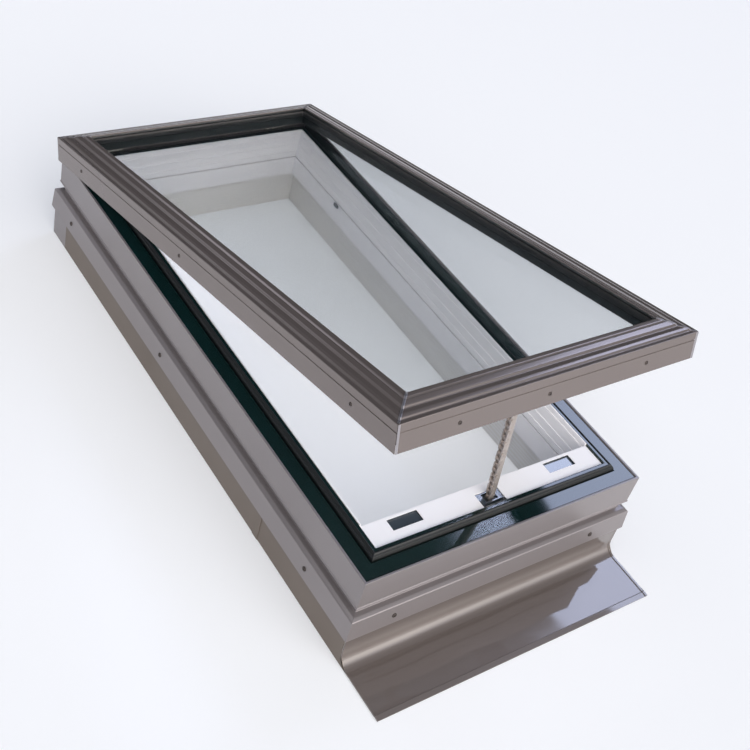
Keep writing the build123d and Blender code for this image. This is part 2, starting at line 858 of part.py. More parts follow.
for side_name, across in (("left", -1), ("right", 1)):
    with BuildPart() as pocket:
        with BuildSketch(Plane.XY.offset(cover_under)):
            with Locations((across * pocket_x, pocket_y)):
                Rectangle(pocket_length + 2 * pocket_wall, pocket_width + 2 * pocket_wall)
        extrude(amount=-pocket_depth)
        with BuildSketch(Plane.XY.offset(cover_under)):
            with Locations((across * pocket_x, pocket_y)):
                Rectangle(pocket_length, pocket_width)
        extrude(amount=-pocket_sink, mode=Mode.SUBTRACT)
    hand_in(pocket, f"cover_pocket_{side_name}")

with BuildPart() as screen_clip:
    clip_middle = frame_width / 2 - liner_inner - clip_depth / 2
    with Locations((clip_middle, frame_length / 2 - clip_position, upstand_z - clip_level)):
        Box(clip_depth, clip_length, clip_height)
    fillet(screen_clip.edges().filter_by(Axis.Z).group_by(Axis.X)[0], clip_depth / 2)
hand_in(screen_clip, "screen_clip")


# Push chain: from the guide to the sash bracket, in line with the chord of the sash's swing
attach_z = sash_z + attach_rise
attach_closed = Vector(0, chain_y, attach_z)
attach_open = Vertex(0, chain_y, attach_z).rotate(HINGE_AXIS, open_angle).center()
chord = attach_open - attach_closed
chain_along = chord.normalized()
chain_frame = Plane(origin=attach_closed, x_dir=chain_along, z_dir=Vector(1, 0, 0).cross(chain_along))
run_end = chord.length - end_link_length
link_total = int((run_end + chain_tail) // chain_pitch)
chain_start = run_end - link_total * chain_pitch

def chain_plates(place, out):
    """A link's two side plates: square heels that butt when the chain pushes, and cut corners."""
    half = chain_pitch / 2 + link_reach
    for face in (-out, out - plate_thickness):
        with BuildSketch(chain_frame.offset(face)) as plate:
            polygon([
                (place - half, -link_width / 2),
                (place + half, -link_width / 2),
                (place + half, link_width / 2 - link_cut),
                (place + half - link_cut, link_width / 2),
                (place - half + link_cut, link_width / 2),
                (place - half, link_width / 2 - link_cut),
            ])
        extrude(plate.sketch, amount=plate_thickness)


def chain_rods(place, radius, half, mode=Mode.ADD):
    """Bars across both ends of a link, in the current part."""
    with BuildSketch(chain_frame) as ends:
        with Locations((place, 0)):
            with GridLocations(chain_pitch, 0, 2, 1):
                RegularPolygon(radius, rod_sides)
    extrude(ends.sketch, amount=half, both=True, mode=mode)


outer_plate_out = inner_plate_out + plate_gap + plate_thickness
with BuildPart() as push_chain:
    for link in range(link_total):
        place = chain_start + (link + 0.5) * chain_pitch
        with BuildPart(mode=Mode.PRIVATE) as chain_link:
            if link % 2:
                chain_plates(place, outer_plate_out)
                chain_rods(place, rivet_radius, outer_plate_out + rivet_proud)
            else:
                chain_plates(place, inner_plate_out)
                chain_rods(place, bush_radius, inner_plate_out - plate_thickness)
                chain_rods(place, rivet_radius + rivet_clearance, inner_plate_out, Mode.SUBTRACT)
        add(chain_link.part)
hand_in(push_chain, "push_chain")

# End link: turns on a pin between the ears of the sash bracket
end_foot = run_end + link_reach + link_gap
with BuildPart() as chain_end:
    with BuildSketch(Plane(origin=attach_closed, x_dir=chain_along, z_dir=(1, 0, 0))):
        with Locations(((end_foot + chord.length) / 2, 0)):
            Rectangle(chord.length - end_foot, end_link_width)
        with Locations((chord.length, 0)):
            Circle(end_link_width / 2)
            Circle(chain_pin_radius + pin_clearance, mode=Mode.SUBTRACT)
    extrude(amount=end_link_thickness / 2, both=True)
hand_in(chain_end, "chain_end")

ear_inside = end_link_thickness / 2 + ear_gap
ear_outside = ear_inside + ear_thickness
bracket_face = sash_frame_inner - sash_length / 2
bracket_z = sash_z + underside
with BuildPart() as chain_bracket:
    with Locations((0, bracket_face, bracket_z)):
        Box(bracket_width, bracket_plate, bracket_height, align=(Align.CENTER, Align.MIN, Align.MIN))
        arm = chain_y + arm_reach - bracket_face
        Box(2 * ear_outside, arm, bracket_plate, align=(Align.CENTER, Align.MIN, Align.MIN))
    for low in (-ear_outside, ear_inside):
        with BuildSketch(Plane(origin=(low, chain_y, attach_z), x_dir=(0, 1, 0), z_dir=(1, 0, 0))):
            with Locations((0, (bracket_z - attach_z) / 2)):
                Rectangle(2 * ear_radius, bracket_z - attach_z)
            Circle(ear_radius)
            Circle(chain_pin_radius, mode=Mode.SUBTRACT)
        extrude(amount=ear_thickness)
swing_open(chain_bracket)
hand_in(chain_bracket, "chain_bracket")

with BuildPart() as chain_pin:
    with BuildSketch(Plane(origin=(0, chain_y, attach_z), x_dir=(0, 1, 0), z_dir=(1, 0, 0))):
        Circle(chain_pin_radius)
    extrude(amount=ear_outside + pin_head, both=True)
swing_open(chain_pin)
hand_in(chain_pin, "chain_pin")
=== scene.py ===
# %% [markdown]
# # A venting roof skylight
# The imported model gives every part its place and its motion. This script only dresses it: it gives
# each surface the finish of the real one, and swaps the plain solids that show most for finer ones.
# All of it shares one frame, in metres, with +Z out of the opening and +Y up the slope towards the
# hinges, so nothing has to be fitted by eye.

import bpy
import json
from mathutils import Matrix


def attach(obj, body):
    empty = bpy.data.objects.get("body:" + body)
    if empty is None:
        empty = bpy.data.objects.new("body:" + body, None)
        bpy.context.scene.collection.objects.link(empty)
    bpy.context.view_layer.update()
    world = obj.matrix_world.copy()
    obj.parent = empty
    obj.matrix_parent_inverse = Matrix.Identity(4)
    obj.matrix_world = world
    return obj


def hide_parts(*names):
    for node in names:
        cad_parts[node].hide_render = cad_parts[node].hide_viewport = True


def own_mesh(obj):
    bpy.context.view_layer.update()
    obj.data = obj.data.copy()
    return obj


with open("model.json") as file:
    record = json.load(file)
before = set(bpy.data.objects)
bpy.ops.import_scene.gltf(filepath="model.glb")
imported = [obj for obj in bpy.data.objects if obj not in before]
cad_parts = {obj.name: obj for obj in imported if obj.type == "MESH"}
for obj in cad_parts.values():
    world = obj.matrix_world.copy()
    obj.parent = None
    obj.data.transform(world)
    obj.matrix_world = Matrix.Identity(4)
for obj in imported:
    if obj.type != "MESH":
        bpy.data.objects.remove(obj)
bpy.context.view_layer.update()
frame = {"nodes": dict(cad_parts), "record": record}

# %% Numbers and tools
import json
from math import radians

import bpy
import numpy as np
from mathutils import Matrix, Vector

MM = 0.001

# %% [markdown]
# ## The camera
# A photograph of a known shape gives its own camera back: the corners of the frame, found in the
# picture, fix where the lens stood and how long it was. The matrix columns are the camera's right,
# its up and its back, because a Blender camera looks along its own -Z.

# %% Camera
FOCAL_PIXELS = 1210.698
PICTURE_PIXELS = 750
SENSOR = 36.0
FAR = 60.0

camera = bpy.data.objects.new("camera", bpy.data.cameras.new("camera"))
camera.data.sensor_width = SENSOR
camera.data.lens = FOCAL_PIXELS / PICTURE_PIXELS * SENSOR
camera.data.clip_end = FAR
camera.matrix_world = Matrix((
    (0.8169554, 0.2300438, -0.5288324, -1.1976598),
    (-0.5317891, 0.6552850, -0.5364718, -1.3863658),
    (0.2231239, 0.7195009, 0.6576734, 1.6581632),
    (0.0, 0.0, 0.0, 1.0),
))
bpy.context.scene.collection.objects.link(camera)
bpy.context.scene.camera = camera
print("lens", round(camera.data.lens, 2), "mm")

# %% [markdown]
# ## Finishes
# A material is a small network of nodes. One function adds a node, with its settings, its fixed
# values and its links, and one turns the colours, written as they look on a screen, into the linear
# numbers that light is counted in.

# %% Colour and nodes
def linear(colour):
    """sRGB hex to linear: v / 12.92 up to 0.04045, above it ((v + 0.055) / 1.055) to the power 2.4."""
    v = np.array([int(colour[i:i + 2], 16) for i in (1, 3, 5)]) / 255
    return (*np.where(v <= 0.04045, v / 12.92, ((v + 0.055) / 1.055) ** 2.4), 1.0)


def add(tree, kind, values=None, links=None, **settings):
    """Adds one node: its settings, the fixed values of its inputs, and the sockets that feed it."""
    node = tree.nodes.new(kind)
    for name, value in settings.items():
        setattr(node, name, value)
    for name, value in (values or {}).items():
        node.inputs[name].default_value = value
    for name, source in (links or {}).items():
        tree.links.new(source, node.inputs[name])
    return node


def new_material(name):
    """A material with an empty tree and its output node."""
    material = bpy.data.materials.new(name)
    material.use_nodes = True
    tree = material.node_tree
    tree.nodes.clear()
    return material, tree, add(tree, "ShaderNodeOutputMaterial")

# %% [markdown]
# Coated and rolled metal, moulded plastic and rubber differ in their numbers more than in how they
# are built up. Each has a colour that drifts a little over its surface, a gloss that drifts with it,
# and a fine relief: the orange peel of a baked coat, the grain of a mould, the lines of a roller.
# Pictures of such surfaces would do too, but a noise laid out in metres has no seams, and its grain
# keeps the real size. Orange peel has waves of 1 to 3 mm. The grain of a mould is finer than that,
# and is drawn at about 1 mm, so that it can show.

# %% A surface with drift and grain
def surface(name, colour, drift_colour, drift, grain, relief, rough, **shader):
    """The colour goes from one to the other with a noise of size drift, in mm. The roughness rises
    with the same noise, from its low value at 0.3 to its high one at 0.7. The relief is a noise of
    size grain, in mm, at a strength of relief."""
    material, tree, out = new_material(name)
    place = add(tree, "ShaderNodeTexCoord").outputs["Object"]
    cloud = add(tree, "ShaderNodeTexNoise", {"Scale": 1 / (drift * MM), "Detail": 3.0, "Roughness": 0.55},
                {"Vector": place})
    fine = add(tree, "ShaderNodeTexNoise", {"Scale": 1 / (grain * MM), "Detail": 2.0}, {"Vector": place})
    tint = add(tree, "ShaderNodeMix", {"A": linear(colour), "B": linear(drift_colour)},
               {"Factor": cloud.outputs["Fac"]}, data_type="RGBA")
    gloss = add(tree, "ShaderNodeMapRange",
                {"From Min": 0.3, "From Max": 0.7, "To Min": rough[0], "To Max": rough[1]},
                {"Value": cloud.outputs["Fac"]})
    bump = add(tree, "ShaderNodeBump", {"Strength": relief, "Distance": 0.1 * MM},
               {"Height": fine.outputs["Fac"]})
    skin = add(tree, "ShaderNodeBsdfPrincipled", shader, {
        "Base Color": tint.outputs["Result"],
        "Roughness": gloss.outputs["Result"],
        "Normal": bump.outputs["Normal"],
    })
    tree.links.new(skin.outputs["BSDF"], out.inputs["Surface"])
    return material


finish = {}

# %% [markdown]
# ### Metals
# The frame and the sash are extruded aluminium with a baked polyester coat that holds metal flake:
# it is grey or bronze, satin, and brighter where it faces the light. A coat with flake lies between
# paint and metal, so its metallic value is about a half. The apron is rolled aluminium sheet, dull
# under a clear lacquer that mirrors the light. The side sheets have a matt tan coat. Screws are dark
# coated steel, and hinges and chain are zinc plated.

# %% Coated aluminium
finish["coated_aluminium"] = surface(
    "satin coated extruded aluminium, warm grey", "#948e8f", "#8a8485", 240, 1.6, 0.03,
    rough=(0.3, 0.37), Metallic=0.5)
finish["sash_aluminium"] = surface(
    "metal flake coated extruded aluminium, bronze grey", "#857c79", "#7b726f", 240, 1.6, 0.012,
    rough=(0.17, 0.22), Metallic=0.55)
finish["flashing_sheet"] = surface(
    "lacquered rolled aluminium sheet", "#756c68", "#6d6460", 300, 2.4, 0.02,
    rough=(0.42, 0.5), Metallic=0.4, **{"Coat Weight": 0.85, "Coat Roughness": 0.04, "Coat IOR": 1.8})
finish["flashing_coated"] = surface(
    "matt coated aluminium sheet, tan", "#7d7269", "#73685f", 200, 2.0, 0.06,
    rough=(0.42, 0.52), Metallic=0.3)
print("coated metals:", len(finish))

# %% Plated and coated steel
finish["bright_steel"] = surface(
    "zinc plated pressed steel", "#a9a6a0", "#94918c", 9, 0.8, 0.08, rough=(0.28, 0.42), Metallic=1.0)
finish["chain_steel"] = surface(
    "zinc plated chain links", "#cfc5bf", "#a39a94", 8, 0.8, 0.08, rough=(0.3, 0.42), Metallic=0.8)
finish["screw_steel"] = surface(
    "dark coated screw steel", "#57504d", "#463f3c", 4, 0.6, 0.1, rough=(0.35, 0.5), Metallic=0.6)
finish["corner_key_metal"] = surface(
    "bare die cast corner key", "#a9a6aa", "#959297", 12, 0.9, 0.08, rough=(0.38, 0.48), Metallic=0.8)
print("all metals:", len(finish))

# %% [markdown]
# ### Plastics, rubber, timber
# The core is extruded PVC, dark green and glossy, which is why the gutter looks wet. The liner and the
# cover are white PVC with a soft sheen. Seals are EPDM rubber with a slick coat, and the operator's
# case is moulded ABS. The pockets in its cover are polished, so they get a clear coat as well. The
# curb is planed spruce under white primer, and a wave, stretched up the slope and bent by a little
# noise, lets its growth lines just show.

# %% Plastics and rubber
finish["gutter_plastic"] = surface(
    "extruded dark green PVC", "#0c2422", "#091c1d", 160, 1.2, 0.005,
    rough=(0.08, 0.1), **{"Specular IOR Level": 0.8})
finish["sash_profile"] = surface(
    "extruded dark green PVC, sash", "#0a1616", "#071010", 160, 1.2, 0.03,
    rough=(0.2, 0.28), **{"Specular IOR Level": 0.3})
finish["liner_white"] = surface(
    "white extruded PVC", "#f8f6f7", "#f1f0f3", 200, 1.4, 0.03, rough=(0.3, 0.38))
finish["rubber"] = surface(
    "EPDM rubber with a slick coat", "#0f1314", "#0a0d0e", 30, 0.7, 0.03,
    rough=(0.4, 0.5), **{"Coat Weight": 0.4, "Coat Roughness": 0.1})
finish["spacer_black"] = surface(
    "black coated glass spacer", "#0b0d0d", "#121515", 20, 0.6, 0.1, rough=(0.5, 0.6))
finish["operator_case"] = surface(
    "moulded ABS, light grey", "#cfd1d4", "#c6c8cc", 60, 0.9, 0.12, rough=(0.45, 0.55))
finish["dark_plastic"] = surface(
    "polished ABS, charcoal", "#3d464f", "#343c44", 30, 0.8, 0.01,
    rough=(0.08, 0.1), **{"Coat Weight": 1.0, "Coat Roughness": 0.08, "Coat IOR": 1.75})
print("with plastics and rubber:", len(finish))

# %% Primed spruce
# The growth lines lie GROWTH mm apart. Blender's wave turns by WAVE_UNIT radians for each unit of scale.
GROWTH = 8.27
WAVE_UNIT = 20

board, tree, out = new_material("planed spruce under white primer")
place = add(tree, "ShaderNodeTexCoord").outputs["Object"]
along = add(tree, "ShaderNodeMapping", {"Scale": (1.0, 0.06, 1.0)}, {"Vector": place})
lines = 2 * np.pi / (WAVE_UNIT * GROWTH * MM)
growth = add(tree, "ShaderNodeTexWave",
             {"Scale": lines, "Distortion": 5.0, "Detail": 3.0, "Detail Scale": 1.5},
             {"Vector": along.outputs["Vector"]}, bands_direction="Z")
tone = add(tree, "ShaderNodeMix", {"A": linear("#f1f0ee"), "B": linear("#ebe8e3")},
           {"Factor": growth.outputs["Fac"]}, data_type="RGBA")
ridge = add(tree, "ShaderNodeBump", {"Strength": 0.08, "Distance": 0.2 * MM},
            {"Height": growth.outputs["Fac"]})
wood = add(tree, "ShaderNodeBsdfPrincipled", {"Roughness": 0.62},
           {"Base Color": tone.outputs["Result"], "Normal": ridge.outputs["Normal"]})
tree.links.new(wood.outputs["BSDF"], out.inputs["Surface"])
finish["curb_timber"] = board
print("growth lines every", GROWTH, "mm")

# %% [markdown]
# ### Glass
# Float glass is almost clear, with a faint cool cast. Cycles doesn't let lamps through refracting
# glass, so a ray on its way to a lamp meets a clear shader instead, and the opening below the sash
# keeps its daylight. A ray that a glossy surface has mirrored passes the same way, unless it has been
# inside the glass before.

# %% Float glass
glass, tree, out = new_material("clear float glass")
body = add(tree, "ShaderNodeBsdfPrincipled", {
    "Base Color": linear("#fcfeff"), "Roughness": 0.0, "IOR": 1.52, "Transmission Weight": 1.0})
clear = add(tree, "ShaderNodeBsdfTransparent", {"Color": linear("#fefefe")})
path = add(tree, "ShaderNodeLightPath").outputs
fresh = add(tree, "ShaderNodeMath", {1: 0.5}, {0: path["Transmission Depth"]}, operation="LESS_THAN")
mirrored = add(tree, "ShaderNodeMath", links={0: path["Is Glossy Ray"], 1: fresh.outputs["Value"]},
               operation="MULTIPLY")
through = add(tree, "ShaderNodeMath", links={0: path["Is Shadow Ray"], 1: mirrored.outputs["Value"]},
              operation="MAXIMUM")
pane = add(tree, "ShaderNodeMixShader",
           links={0: through.outputs["Value"], 1: body.outputs["BSDF"], 2: clear.outputs["BSDF"]})
tree.links.new(pane.outputs["Shader"], out.inputs["Surface"])
finish["glass"] = glass
print("finishes:", len(finish))

# %% [markdown]
# ## Dressing the solids
# Every node takes the finish of its material slot. The solids come in with razor edges, and a real
# edge always catches a thin line of light, so the loose triangles are welded together and each edge
# gets a small bevel. Both are modifiers, so the solids themselves stay as they are. Planed boards and
# moulded cases have rounder edges than metal.

# %% Finishes on the nodes
slot_of = {row["node"]: row["material_slot"] for row in frame["record"]["subparts"]}
body_of = {node: body for body, nodes in frame["record"]["behaviour"]["bodies"].items() for node in nodes}


def soften(obj, width):
    """Welds the loose triangles, and bevels each edge that turns by more than 35 degrees."""
    weld = obj.modifiers.new("weld", "WELD")
    weld.merge_threshold = 0.005 * MM
    bevel = obj.modifiers.new("bevel", "BEVEL")
    bevel.width = width * MM
    bevel.segments = 2
    bevel.limit_method = "ANGLE"
    bevel.angle_limit = radians(35)
    bevel.harden_normals = True
    bevel.use_clamp_overlap = True


METAL_EDGE = 0.3
edge_width = {"curb_timber": 1.2, "glass": 0.4, "liner_white": 0.5, "gutter_plastic": 0.5,
              "operator_case": 1.5}
for node, obj in frame["nodes"].items():
    slot = slot_of[node]
    obj.data.materials.clear()
    obj.data.materials.append(finish[slot])
    soften(obj, edge_width.get(slot, METAL_EDGE))
print("nodes with a finish:", len(frame["nodes"]))

# %% [markdown]
# ## From sections to meshes
# Frame, sash and apron are bent or extruded: each has one section that is carried along a line. So a
# shape starts as an outline in the plane of the section, p inwards and z up, in mm, with its corners
# rounded. Closed outlines are for extrusions, and open lines for sheet, which gets its thickness
# from the direction square to the line.

# %% Rounded corners
def rounded(corners, radii, steps=5):
    """Each corner becomes an arc: (1-s)^2 start + 2s(1-s) corner + s^2 end, for s from 0 to 1.
    Start and end lie on the two edges, a radius away from the corner or 0.48 of the edge."""
    corners = np.array(corners, float)
    back = np.roll(corners, 1, axis=0) - corners
    ahead = np.roll(corners, -1, axis=0) - corners
    length_back = np.linalg.norm(back, axis=1)
    length_ahead = np.linalg.norm(ahead, axis=1)
    radius = np.minimum(radii, 0.48 * np.minimum(length_back, length_ahead))[:, None]
    start = corners + back / length_back[:, None] * radius
    end = corners + ahead / length_ahead[:, None] * radius
    s = np.linspace(0, 1, steps)[None, :, None]
    arc = (1 - s) ** 2 * start[:, None] + 2 * s * (1 - s) * corners[:, None] + s ** 2 * end[:, None]
    return arc.reshape(-1, 2)


def bent(corners, radii, steps=5):
    """An open line with its inner corners rounded, and at each point the direction to its right."""
    radii = np.broadcast_to(np.array(radii, float), len(corners)).copy()
    line = rounded(corners, radii, steps)[steps:-steps]
    line = np.vstack([corners[:1], line, corners[-1:]])
    way = np.gradient(line, axis=0)
    way /= np.linalg.norm(way, axis=1)[:, None]
    return line, np.stack([way[:, 1], -way[:, 0]], 1)

# %% [markdown]
# A section that is carried along a way is a grid of points: a row for each place on the way, a column
# for each point of the section. Each cell between two rows and two columns is a face, and the first
# and last rows are capped. The signed volume tells which way the faces look, so a shape that came out
# inside out is turned. Blender's own curve bevel could sweep too, but it gives no hold on the mitres.

# %% Grids to meshes
def grid_faces(rows, columns):
    """Corner numbers of each cell: (r, c), (r, c+1), (r+1, c+1), (r+1, c), with c round the loop."""
    r, c = np.meshgrid(np.arange(rows - 1) * columns, np.arange(columns), indexing="ij")
    right = (c + 1) % columns
    return np.stack([r + c, r + right, r + columns + right, r + columns + c], -1).reshape(-1, 4)


def swept(grid):
    """Points and faces of a closed section carried along a way, with a cap on both ends. The volume
    is the sum of a . (b x c) / 6 over the triangles, and if it is negative the faces are turned."""
    rows, columns = grid.shape[:2]
    points, cells = grid.reshape(-1, 3), grid_faces(rows, columns)
    caps = [np.arange(columns)[::-1], np.arange(columns) + (rows - 1) * columns]
    fans = [np.stack([np.full(columns - 2, cap[0]), cap[1:-1], cap[2:]], 1) for cap in caps]
    a, b, c = points[np.vstack([cells[:, :3], cells[:, [0, 2, 3]], *fans]).T]
    volume = np.einsum("ij,ij->i", a, np.cross(b, c)).sum() / 6
    faces = cells.tolist() + [cap.tolist() for cap in caps]
    return points, faces if volume > 0 else [face[::-1] for face in faces]


def make_piece(name, shapes, node):
    """One object from several shapes in mm. It stands in for the node: same body, slot and finish.
    Edges that turn by more than 35 degrees stay sharp."""
    points, faces, start = [], [], 0
    for some_points, some_faces in shapes:
        points.append(some_points * MM)
        faces += [[corner + start for corner in face] for face in some_faces]
        start += len(some_points)
    mesh = bpy.data.meshes.new(name)
    mesh.from_pydata(np.vstack(points).tolist(), [], faces)
    mesh.validate()
    mesh.materials.append(finish[slot_of[node]])
    mesh.shade_smooth()
    mesh.set_sharp_from_angle(angle=radians(35))
    obj = bpy.data.objects.new(name, mesh)
    bpy.context.scene.collection.objects.link(obj)
    even = obj.modifiers.new("even shading", "WEIGHTED_NORMAL")
    even.keep_sharp = True
    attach(obj, body_of[node])
    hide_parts(node)
    return obj

# %% [markdown]
# ## Rails
# Frame and sash are each four lengths of one section, cut at 45 degrees. At a distance p inwards from
# the outer face the rail is shorter by p at each end, and that is all a mitre is. Where the corner is
# rounded instead, points nearer to the face than the corner's radius go round an eighth of a turn.

# %% Four sides of a rectangle
INWARD = {"front": (0, 1), "back": (0, -1), "left": (1, 0), "right": (-1, 0)}


def rail(section, side, width, length, base=0.0, setback=0.0, corner=0.0, turns=1):
    """Rows of points from one end to the other. With run for half the side and r for the greater of
    corner - p and 0, a point at angle a lies corner - r cos a inwards and run - corner + r sin a along.
    Points deeper than the corner's radius, or all of them on a sharp corner, lie at p and run - p.
    Both end short of that by the setback."""
    way = np.array((*INWARD[side], 0.0))
    along = np.cross((0, 0, 1.0), way)
    half, run = (width / 2, length / 2) if way[0] else (length / 2, width / 2)
    p, z = np.asarray(section).T
    angle = np.linspace(np.pi / 4, 0, turns)[:, None]
    r = np.maximum(corner - p, 0)
    deep = (p >= corner) | (corner == 0)
    step = 0.05 * np.arange(turns)[:, None]
    inwards = np.where(deep, p, corner - r * np.cos(angle))
    reach = np.where(deep, run - p - step, run - corner + r * np.sin(angle)) - setback
    inwards = np.vstack([inwards, inwards[::-1]])
    reach = np.vstack([-reach, reach[::-1]])
    grid = (inwards - half)[:, :, None] * way + reach[:, :, None] * along
    return grid + (z + base)[None, :, None] * np.array((0, 0, 1.0))

# %% [markdown]
# ## Frame profile
# Upper wall, shadow groove, ledge and screw flange are one extrusion. Four bevelled boxes would show
# seams between them, so the line of its outer face is drawn once and gets the wall's thickness. At the
# top the wall is folded inwards and down, at its foot it ends in a small bead, and the folds are
# round, so that a bright line runs along each edge of the groove.

# %% Frame profile
FRAME = (600.0, 1184.0)
GUTTER, FRAME_TOP, GROOVE_TOP, LEDGE, FLANGE = 184.0, 199.6, 134.0, 111.0, 67.0
FLANGE_FACE = 11.5
WALL = 1.8

fold_line = [
    (11, GUTTER), (4.2, FRAME_TOP), (0, FRAME_TOP), (0, GROOVE_TOP + 4), (-1.2, GROOVE_TOP + 2.4),
    (-1.2, GROOVE_TOP), (7.5, GROOVE_TOP), (7.5, LEDGE + 4.5), (-1.5, LEDGE + 3.8), (-7.2, LEDGE + 1.2),
    (-8.4, LEDGE), (-FLANGE_FACE, FLANGE)]
fold_radii = [0, 0.9, 1.0, 0.8, 0.9, 0.9, 1.6, 1.6, 1.4, 0.9, 0.9, 0]
outer_line, outwards = bent(fold_line, fold_radii)
profile = np.vstack([outer_line, (outer_line - WALL * outwards)[::-1]])
for side in INWARD:
    length = swept(rail(profile, side, *FRAME))
    make_piece(f"frame_profile_{side}_folded", [length], f"frame_profile_{side}")
print("profile section:", len(profile), "points")

# %% [markdown]
# ## Gutter and seal
# Inside the wall the core forms a shelf, then a narrow channel that drains it, and then the upstand
# with its level top. Shelf and top mirror the light, and the channel between them reads as a black
# line. The seal lies on the upstand's slope, with a step and a crest that each catch a thin line of
# light. The hollow chambers inside the core don't show, so a full section does. The back length keeps
# its plain gutter, because the hinges stand in it.

# %% Core
core = rounded(
    [(8.8, 108), (8.8, 180), (11.3, 183.5), (5.7, 197), (33.4, 197), (33.4, 191), (36, 191), (36, 198),
     (41, 206), (42.4, 207.6), (50, 207.6), (50, 108)],
    np.array([0.5, 0.5, 0.5, 0.5, 1.0, 0.6, 0.6, 1.0, 1.0, 0.6, 1.8, 0.5]))
for side in ("front", "left", "right"):
    make_piece(f"frame_core_{side}_shelf", [swept(rail(core, side, *FRAME))], f"frame_core_{side}")
print("core section:", len(core), "points")

# %% Seal
seal = rounded(
    [(36.0, 191.5), (36.0, 198.2), (40.6, 205.6), (42.4, 207.7), (42.6, 209.2), (40.8, 209.6),
     (39.0, 207.9), (38.0, 205.2), (36.7, 205.0), (34.5, 200.4), (34.5, 197.6), (34.9, 191.5)],
    np.array([0.3, 0.5, 0.5, 0.4, 0.9, 0.9, 0.8, 0.5, 0.7, 1.0, 0.8, 0.3]))
for side in INWARD:
    make_piece(f"frame_seal_{side}_strip", [swept(rail(seal, side, *FRAME))], f"frame_seal_{side}")
print("seal section:", len(seal), "points")

# %% [markdown]
# ## Apron
# The apron stands behind the flange, bends outwards in a wide cove, and then lies flat. Its side edges
# and its front edge are folded back on themselves, which stiffens them. Thin sheet never lies quite
# flat: a few slow waves let the reflections wander. A bent plane with a Solidify modifier would be a
# sheet too, but the hems rise on its upper side only, so both of its sides are drawn, as one grid.

# %% Section of the apron
APRON_TOP, APRON_FACE, APRON_END, COVE = 105.2, -7.2, -127.0, 26.0
SHEET = 1.2
FLAT_ROWS = 7

sheet_line, outwards = bent(
    [(APRON_FACE, APRON_TOP), (APRON_FACE - 0.8, SHEET), (APRON_END + 11, SHEET),
     (APRON_END + 10, SHEET + 1.0), (APRON_END, SHEET + 0.2)],
    [0, COVE, 0.3, 0.6, 0], steps=14)
start = np.argmax(sheet_line[:, 1] < SHEET + 0.01)
share = np.linspace(0, 1, FLAT_ROWS + 2)[1:-1, None]
flat = sheet_line[start] + share * (sheet_line[start + 1] - sheet_line[start])
sheet_line = np.insert(sheet_line, start + 1, flat, axis=0)
outwards = np.insert(outwards, start + 1, np.repeat(outwards[start:start + 1], FLAT_ROWS, axis=0), axis=0)
print("apron section:", len(sheet_line), "points")

# %% [markdown]
# The hem is a rise of the upper side near both edges, which fades out up the cove. The waves rise and
# fall with x and with p, from 0 to 0.5 mm, and fade out above the flat part as well. Each number under
# x or p is a wave's length over two pi.

# %% Apron sheet
APRON_HALF, HEM, HEM_RISE = 306.2, 4.0, 1.6
WAVE = 0.25
FADE = 30

x = np.concatenate([
    [-APRON_HALF, -APRON_HALF + HEM, -APRON_HALF + HEM + 0.6], np.linspace(-295, 295, 60),
    [APRON_HALF - HEM - 0.6, APRON_HALF - HEM, APRON_HALF]])
p, z = sheet_line.T
low = np.clip((COVE + 8 - z) / 20, 0, 1)
hem = np.where(np.abs(x) > APRON_HALF - HEM - 0.3, HEM_RISE, 0.0)[:, None] * low
ripple = np.sin(x[:, None] / 47 + p / 30) * np.sin(x[:, None] / 81 + 1.3) * (1 - z / 110)
wave = WAVE + WAVE * ripple
upper = sheet_line + outwards * hem[..., None]
lower = np.maximum(sheet_line - outwards * SHEET, (-200, 0.1)) + np.zeros_like(upper)
section = np.concatenate([upper, lower[:, ::-1]], axis=1)
lift = np.concatenate([wave, wave[:, ::-1]], axis=1) * np.clip((FADE - section[..., 1]) / FADE, 0, 1)
across = np.broadcast_to(x[:, None], section.shape[:2])
apron = np.stack([across, section[..., 0] - FRAME[1] / 2, section[..., 1] + lift], -1)
make_piece("apron_folded_sheet", [swept(apron)], "apron_flashing")
print("apron grid:", apron.shape[:2], "highest wave", round(float(wave.max()), 2), "mm")

# %% [markdown]
# ## Flange screws
# A pan head is a curve turned about its axis: a low dome with a round rim, and a six-sided recess.
# The recess is a ring too, with its radius given by the hexagon: a / cos of the angle to the nearest
# flat. So one grid holds the whole head, and no hole has to be cut. The flange leans outwards, and
# its screws stand square to it.

# %% Screw head
def screw_head(centre, axis, radius, height, sides=24):
    """Rings from under the rim to the floor of the recess. The axis points out of the face. Each ring
    is centre + rise height axis + share radius (cos t across + sin t (axis x across)), and the rings
    of the recess are stretched by the hexagon."""
    axis = np.array(axis, float)
    across = np.cross(axis, (0.3, 0.2, 0.9))
    across /= np.linalg.norm(across)
    turn = np.linspace(0, 2 * np.pi, sides, endpoint=False)
    hexagon = 1 / np.cos((turn % (np.pi / 3)) - np.pi / 6)
    rings = [(1.0, -0.1, 0), (1.0, 0.35, 0), (0.93, 0.7, 0), (0.75, 0.93, 0), (0.5, 1.0, 0),
             (0.38, 1.0, 1), (0.36, 0.3, 1)]
    spread = np.array([share * radius * (hexagon if six else np.ones(sides)) for share, rise, six in rings])
    up = np.array([rise * height for share, rise, six in rings])[:, None, None] * axis
    round_part = np.cos(turn)[:, None] * across + np.sin(turn)[:, None] * np.cross(axis, across)
    return swept(np.array(centre) + up + spread[..., None] * round_part)


def on_side(side, place, outwards, level, half):
    """A point on one side of a rectangle: half + outwards away from the middle, place along X or Y."""
    way = np.array(INWARD[side], float)
    x, y = -way * (half + outwards) + np.abs(way[::-1]) * place
    return np.array((x, y, level))

